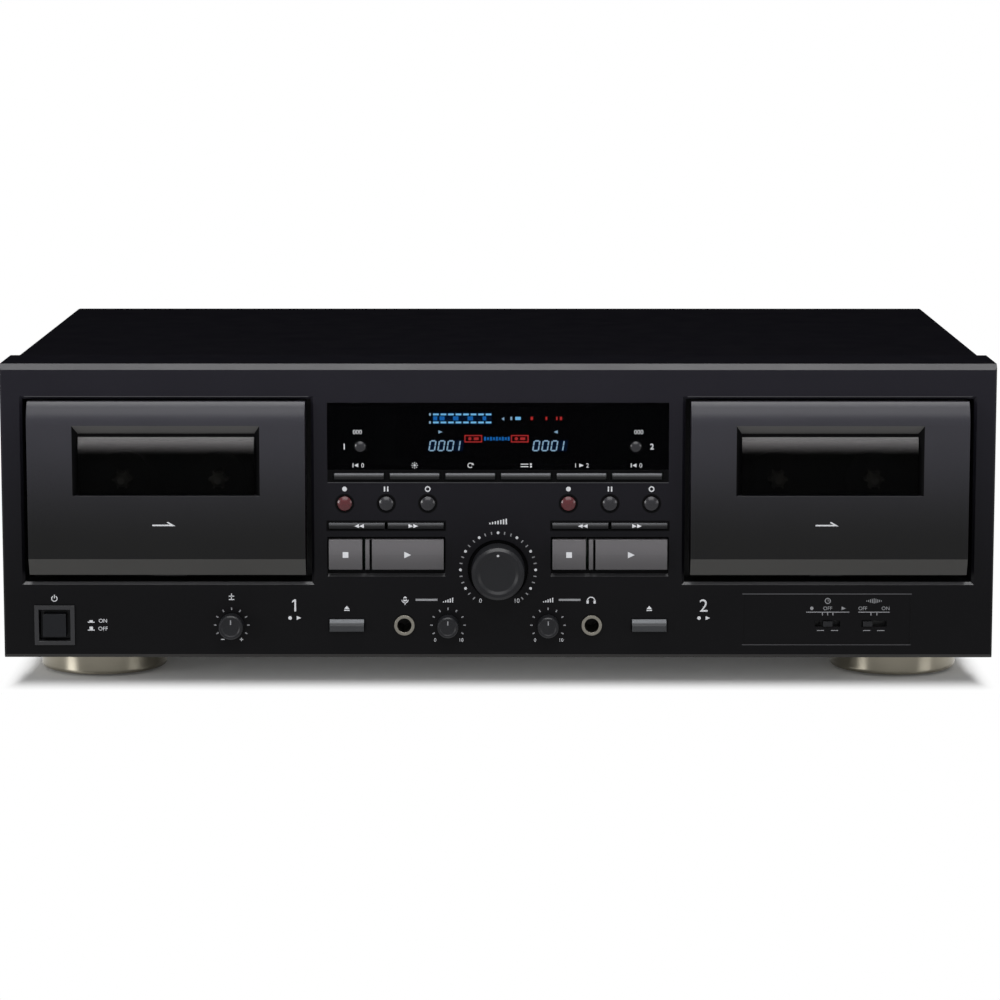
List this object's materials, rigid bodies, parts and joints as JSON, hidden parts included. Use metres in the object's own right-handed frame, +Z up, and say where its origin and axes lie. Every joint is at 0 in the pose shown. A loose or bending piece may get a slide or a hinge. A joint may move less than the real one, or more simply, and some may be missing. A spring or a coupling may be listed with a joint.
{
  "type": "double cassette deck",
  "caption": "Full-width hi-fi double cassette deck with tilting doors, display, keys, knobs, jacks and round feet.",
  "frame": {"origin": "centre of the bounding box, on the surface that the feet stand on", "axes": "+X to the right seen from the front, +Y to the back, +Z up"},
  "size_m": [0.435, 0.286, 0.145],
  "materials": {
    "panel_black": "satin",
    "steel_zinc": "satin",
    "cover_black": "satin",
    "foot_champagne": "metallic satin",
    "screw_black": "satin",
    "bezel_grey": "satin",
    "lens_smoked": "gloss",
    "board_green": "satin",
    "core_steel": "matte",
    "nickel": "polished",
    "inlet_black": "matte",
    "door_black": "satin",
    "reel_ivory": "satin",
    "knob_black": "satin",
    "key_grey": "satin",
    "key_dark": "satin",
    "record_red": "satin"
  },
  "bodies": {
    "case": {"front_panel": "panel_black", "chassis_pan": "steel_zinc", "top_cover": "cover_black", "rear_panel": "cover_black", "feet": "foot_champagne", "case_screws": "screw_black", "power_bezel": "bezel_grey", "display_window": "lens_smoked", "circuit_boards": "board_green", "power_transformer": "core_steel", "rear_sockets": "nickel", "mains_inlet": "inlet_black", "front_sockets": "nickel", "transport_frames": "steel_zinc", "drive_motors": "steel_zinc"},
    "door_1": {"door_1": "door_black", "door_window_1": "lens_smoked", "cassette_holder_1": "steel_zinc"},
    "supply_reel_1": {"supply_reel_1": "reel_ivory"},
    "takeup_reel_1": {"takeup_reel_1": "reel_ivory"},
    "flywheel_1": {"flywheel_1": "steel_zinc"},
    "head_bridge_1": {"head_bridge_1": "steel_zinc"},
    "eject_key_1": {"eject_key_1": "key_dark"},
    "rewind_key_1": {"rewind_key_1": "key_dark"},
    "forward_key_1": {"forward_key_1": "key_dark"},
    "stop_key_1": {"stop_key_1": "key_grey"},
    "play_key_1": {"play_key_1": "key_grey"},
    "record_button_1": {"record_button_1": "record_red"},
    "pause_button_1": {"pause_button_1": "key_dark"},
    "mute_button_1": {"mute_button_1": "key_dark"},
    "counter_reset_1": {"counter_reset_1": "key_dark"},
    "door_2": {"door_2": "door_black", "door_window_2": "lens_smoked", "cassette_holder_2": "steel_zinc"},
    "supply_reel_2": {"supply_reel_2": "reel_ivory"},
    "takeup_reel_2": {"takeup_reel_2": "reel_ivory"},
    "flywheel_2": {"flywheel_2": "steel_zinc"},
    "head_bridge_2": {"head_bridge_2": "steel_zinc"},
    "eject_key_2": {"eject_key_2": "key_dark"},
    "rewind_key_2": {"rewind_key_2": "key_dark"},
    "forward_key_2": {"forward_key_2": "key_dark"},
    "stop_key_2": {"stop_key_2": "key_grey"},
    "play_key_2": {"play_key_2": "key_grey"},
    "record_button_2": {"record_button_2": "record_red"},
    "pause_button_2": {"pause_button_2": "key_dark"},
    "mute_button_2": {"mute_button_2": "key_dark"},
    "counter_reset_2": {"counter_reset_2": "key_dark"},
    "function_key_1": {"function_key_1": "key_dark"},
    "function_key_2": {"function_key_2": "key_dark"},
    "function_key_3": {"function_key_3": "key_dark"},
    "function_key_4": {"function_key_4": "key_dark"},
    "function_key_5": {"function_key_5": "key_dark"},
    "function_key_6": {"function_key_6": "key_dark"},
    "power_button": {"power_button": "knob_black"},
    "record_level_knob": {"record_level_knob": "knob_black"},
    "pitch_knob": {"pitch_knob": "knob_black"},
    "mic_level_knob": {"mic_level_knob": "knob_black"},
    "phones_level_knob": {"phones_level_knob": "knob_black"},
    "timer_switch": {"timer_switch": "knob_black"},
    "noise_switch": {"noise_switch": "knob_black"}
  },
  "joints": [
    {"name": "door_1_tilt", "type": "hinge", "parent": "case", "child": "door_1", "pos_m": [-0.1448, -0.1275, 0.0584], "axis": [1, 0, 0], "range_deg": [0, 35]},
    {"name": "supply_reel_1_turn", "type": "hinge", "parent": "case", "child": "supply_reel_1", "pos_m": [-0.16605, -0.107, 0.0923], "axis": [0, 1, 0], "continuous": true},
    {"name": "takeup_reel_1_turn", "type": "hinge", "parent": "case", "child": "takeup_reel_1", "pos_m": [-0.12355, -0.107, 0.0923], "axis": [0, 1, 0], "continuous": true},
    {"name": "flywheel_1_turn", "type": "hinge", "parent": "case", "child": "flywheel_1", "pos_m": [-0.1243, -0.094, 0.0674], "axis": [0, 1, 0], "continuous": true},
    {"name": "head_bridge_1_slide", "type": "slide", "parent": "case", "child": "head_bridge_1", "axis": [0, 0, 1], "range_m": [0, 0.006], "stiffness_N_per_m": 150, "springref_m": -0.006},
    {"name": "eject_key_1_slide", "type": "slide", "parent": "case", "child": "eject_key_1", "axis": [0, 1, 0], "range_m": [0, 0.003], "stiffness_N_per_m": 300, "springref_m": -0.004},
    {"name": "rewind_key_1_slide", "type": "slide", "parent": "case", "child": "rewind_key_1", "axis": [0, 1, 0], "range_m": [0, 0.0008], "stiffness_N_per_m": 300, "springref_m": -0.003},
    {"name": "forward_key_1_slide", "type": "slide", "parent": "case", "child": "forward_key_1", "axis": [0, 1, 0], "range_m": [0, 0.0008], "stiffness_N_per_m": 300, "springref_m": -0.003},
    {"name": "stop_key_1_slide", "type": "slide", "parent": "case", "child": "stop_key_1", "axis": [0, 1, 0], "range_m": [0, 0.0015], "stiffness_N_per_m": 300, "springref_m": -0.004},
    {"name": "play_key_1_slide", "type": "slide", "parent": "case", "child": "play_key_1", "axis": [0, 1, 0], "range_m": [0, 0.0015], "stiffness_N_per_m": 300, "springref_m": -0.004},
    {"name": "record_button_1_slide", "type": "slide", "parent": "case", "child": "record_button_1", "axis": [0, 1, 0], "range_m": [0, 0.001], "stiffness_N_per_m": 300, "springref_m": -0.003},
    {"name": "pause_button_1_slide", "type": "slide", "parent": "case", "child": "pause_button_1", "axis": [0, 1, 0], "range_m": [0, 0.001], "stiffness_N_per_m": 300, "springref_m": -0.003},
    {"name": "mute_button_1_slide", "type": "slide", "parent": "case", "child": "mute_button_1", "axis": [0, 1, 0], "range_m": [0, 0.001], "stiffness_N_per_m": 300, "springref_m": -0.003},
    {"name": "counter_reset_1_slide", "type": "slide", "parent": "case", "child": "counter_reset_1", "axis": [0, 1, 0], "range_m": [0, 0.001], "stiffness_N_per_m": 300, "springref_m": -0.003},
    {"name": "door_2_tilt", "type": "hinge", "parent": "case", "child": "door_2", "pos_m": [0.1448, -0.1275, 0.0584], "axis": [1, 0, 0], "range_deg": [0, 35]},
    {"name": "supply_reel_2_turn", "type": "hinge", "parent": "case", "child": "supply_reel_2", "pos_m": [0.12355, -0.107, 0.0923], "axis": [0, 1, 0], "continuous": true},
    {"name": "takeup_reel_2_turn", "type": "hinge", "parent": "case", "child": "takeup_reel_2", "pos_m": [0.16605, -0.107, 0.0923], "axis": [0, 1, 0], "continuous": true},
    {"name": "flywheel_2_turn", "type": "hinge", "parent": "case", "child": "flywheel_2", "pos_m": [0.1653, -0.094, 0.0674], "axis": [0, 1, 0], "continuous": true},
    {"name": "head_bridge_2_slide", "type": "slide", "parent": "case", "child": "head_bridge_2", "axis": [0, 0, 1], "range_m": [0, 0.006], "stiffness_N_per_m": 150, "springref_m": -0.006},
    {"name": "eject_key_2_slide", "type": "slide", "parent": "case", "child": "eject_key_2", "axis": [0, 1, 0], "range_m": [0, 0.003], "stiffness_N_per_m": 300, "springref_m": -0.004},
    {"name": "rewind_key_2_slide", "type": "slide", "parent": "case", "child": "rewind_key_2", "axis": [0, 1, 0], "range_m": [0, 0.0008], "stiffness_N_per_m": 300, "springref_m": -0.003},
    {"name": "forward_key_2_slide", "type": "slide", "parent": "case", "child": "forward_key_2", "axis": [0, 1, 0], "range_m": [0, 0.0008], "stiffness_N_per_m": 300, "springref_m": -0.003},
    {"name": "stop_key_2_slide", "type": "slide", "parent": "case", "child": "stop_key_2", "axis": [0, 1, 0], "range_m": [0, 0.0015], "stiffness_N_per_m": 300, "springref_m": -0.004},
    {"name": "play_key_2_slide", "type": "slide", "parent": "case", "child": "play_key_2", "axis": [0, 1, 0], "range_m": [0, 0.0015], "stiffness_N_per_m": 300, "springref_m": -0.004},
    {"name": "record_button_2_slide", "type": "slide", "parent": "case", "child": "record_button_2", "axis": [0, 1, 0], "range_m": [0, 0.001], "stiffness_N_per_m": 300, "springref_m": -0.003},
    {"name": "pause_button_2_slide", "type": "slide", "parent": "case", "child": "pause_button_2", "axis": [0, 1, 0], "range_m": [0, 0.001], "stiffness_N_per_m": 300, "springref_m": -0.003},
    {"name": "mute_button_2_slide", "type": "slide", "parent": "case", "child": "mute_button_2", "axis": [0, 1, 0], "range_m": [0, 0.001], "stiffness_N_per_m": 300, "springref_m": -0.003},
    {"name": "counter_reset_2_slide", "type": "slide", "parent": "case", "child": "counter_reset_2", "axis": [0, 1, 0], "range_m": [0, 0.001], "stiffness_N_per_m": 300, "springref_m": -0.003},
    {"name": "function_key_1_slide", "type": "slide", "parent": "case", "child": "function_key_1", "axis": [0, 1, 0], "range_m": [0, 0.0008], "stiffness_N_per_m": 300, "springref_m": -0.003},
    {"name": "function_key_2_slide", "type": "slide", "parent": "case", "child": "function_key_2", "axis": [0, 1, 0], "range_m": [0, 0.0008], "stiffness_N_per_m": 300, "springref_m": -0.003},
    {"name": "function_key_3_slide", "type": "slide", "parent": "case", "child": "function_key_3", "axis": [0, 1, 0], "range_m": [0, 0.0008], "stiffness_N_per_m": 300, "springref_m": -0.003},
    {"name": "function_key_4_slide", "type": "slide", "parent": "case", "child": "function_key_4", "axis": [0, 1, 0], "range_m": [0, 0.0008], "stiffness_N_per_m": 300, "springref_m": -0.003},
    {"name": "function_key_5_slide", "type": "slide", "parent": "case", "child": "function_key_5", "axis": [0, 1, 0], "range_m": [0, 0.0008], "stiffness_N_per_m": 300, "springref_m": -0.003},
    {"name": "function_key_6_slide", "type": "slide", "parent": "case", "child": "function_key_6", "axis": [0, 1, 0], "range_m": [0, 0.0008], "stiffness_N_per_m": 300, "springref_m": -0.003},
    {"name": "power_button_slide", "type": "slide", "parent": "case", "child": "power_button", "axis": [0, 1, 0], "range_m": [0, 0.004], "stiffness_N_per_m": 400, "springref_m": -0.004},
    {"name": "record_level_knob_turn", "type": "hinge", "parent": "case", "child": "record_level_knob", "pos_m": [0, -0.13, 0.05425], "axis": [0, 1, 0], "range_deg": [-150, 150]},
    {"name": "pitch_knob_turn", "type": "hinge", "parent": "case", "child": "pitch_knob", "pos_m": [-0.1172, -0.13, 0.0296], "axis": [0, 1, 0], "range_deg": [-150, 150]},
    {"name": "mic_level_knob_turn", "type": "hinge", "parent": "case", "child": "mic_level_knob", "pos_m": [-0.022, -0.13, 0.0296], "axis": [0, 1, 0], "range_deg": [-150, 150]},
    {"name": "phones_level_knob_turn", "type": "hinge", "parent": "case", "child": "phones_level_knob", "pos_m": [0.022, -0.13, 0.0296], "axis": [0, 1, 0], "range_deg": [-150, 150]},
    {"name": "timer_switch_slide", "type": "slide", "parent": "case", "child": "timer_switch", "axis": [1, 0, 0], "range_m": [-0.0032, 0.0032]},
    {"name": "noise_switch_slide", "type": "slide", "parent": "case", "child": "noise_switch", "axis": [1, 0, 0], "range_m": [0, 0.0058]}
  ]
}
